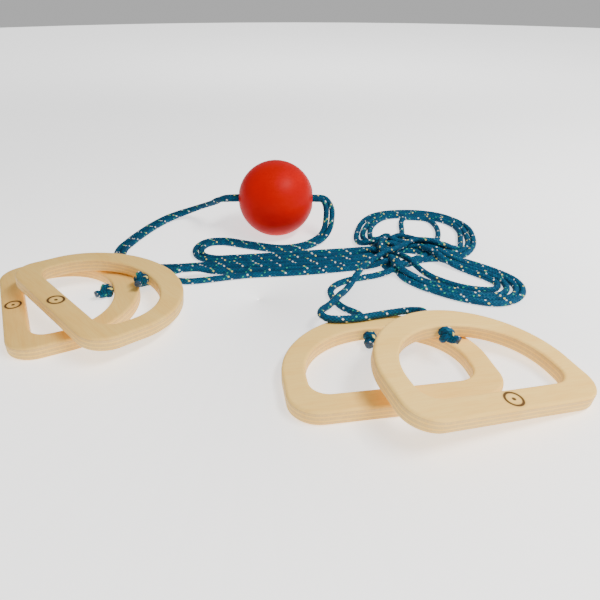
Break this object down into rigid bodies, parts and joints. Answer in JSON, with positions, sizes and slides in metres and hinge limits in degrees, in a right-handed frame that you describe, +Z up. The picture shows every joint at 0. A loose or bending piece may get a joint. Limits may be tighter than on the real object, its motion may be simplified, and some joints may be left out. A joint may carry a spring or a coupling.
{
  "type": "shuttle ball pull game",
  "caption": "Two-player shuttle-ball game: a bored wooden ball on a pair of braided cords, each cord ending in D-shaped plywood handles.",
  "frame": {"origin": "on the table, below the middle of the box round the handles and the ball", "axes": "+X from the left pair of handles towards the right pair, +Z up from the table"},
  "size_m": [0.4177, 0.3531, 0.07],
  "materials": {
    "birch_ply": "sanded and clear sealed",
    "red_lacquer": "semi-gloss lacquer",
    "braid": "woven braid with light flecks"
  },
  "bodies": {
    "cords": {"cord_a_ball_run": "braid", "cord_b_ball_run": "braid", "cord_bundle": "braid", "cord_coil_front": "braid", "cord_coil_back": "braid", "cord_run_left_lower": "braid", "cord_run_left_upper": "braid", "cord_run_right_lower": "braid", "cord_run_right_upper": "braid", "cord_flex_left_lower": "braid", "cord_flex_left_upper": "braid", "cord_flex_right_lower": "braid", "cord_flex_right_upper": "braid"},
    "ball": {"ball": "red_lacquer"},
    "left_lower_handle": {"handle_left_lower": "birch_ply", "knot_left_lower": "braid", "cord_end_left_lower": "braid"},
    "left_upper_handle": {"handle_left_upper": "birch_ply", "knot_left_upper": "braid", "cord_end_left_upper": "braid"},
    "right_lower_handle": {"handle_right_lower": "birch_ply", "knot_right_lower": "braid", "cord_end_right_lower": "braid"},
    "right_upper_handle": {"handle_right_upper": "birch_ply", "knot_right_upper": "braid", "cord_end_right_upper": "braid"}
  },
  "joints": [
    {"name": "ball_slide", "type": "slide", "parent": "cords", "child": "ball", "axis": [1, 0, 0], "range_m": [-0.008, 0.006]},
    {"name": "left_lower_swing", "type": "hinge", "parent": "cords", "child": "left_lower_handle", "pos_m": [-0.08806, 0.01823, 0.005], "axis": [0, 0, 1], "range_deg": [-8, 10], "deforming": ["cord_flex_left_lower"]},
    {"name": "left_upper_lift", "type": "hinge", "parent": "cords", "child": "left_upper_handle", "pos_m": [-0.06539, 0.02414, 0.01272], "axis": [-0.7022, 0.7107, 0.0428], "range_deg": [0, 90], "deforming": ["cord_flex_left_upper"]},
    {"name": "right_lower_swing", "type": "hinge", "parent": "cords", "child": "right_lower_handle", "pos_m": [0.07486, -0.0297, 0.005], "axis": [0, 0, 1], "range_deg": [-12, 0], "deforming": ["cord_flex_right_lower"]},
    {"name": "right_upper_lift", "type": "hinge", "parent": "cords", "child": "right_upper_handle", "pos_m": [0.11356, -0.04839, 0.02044], "axis": [-0.9284, -0.3445, 0.1394], "range_deg": [0, 90], "deforming": ["cord_flex_right_upper"]}
  ]
}
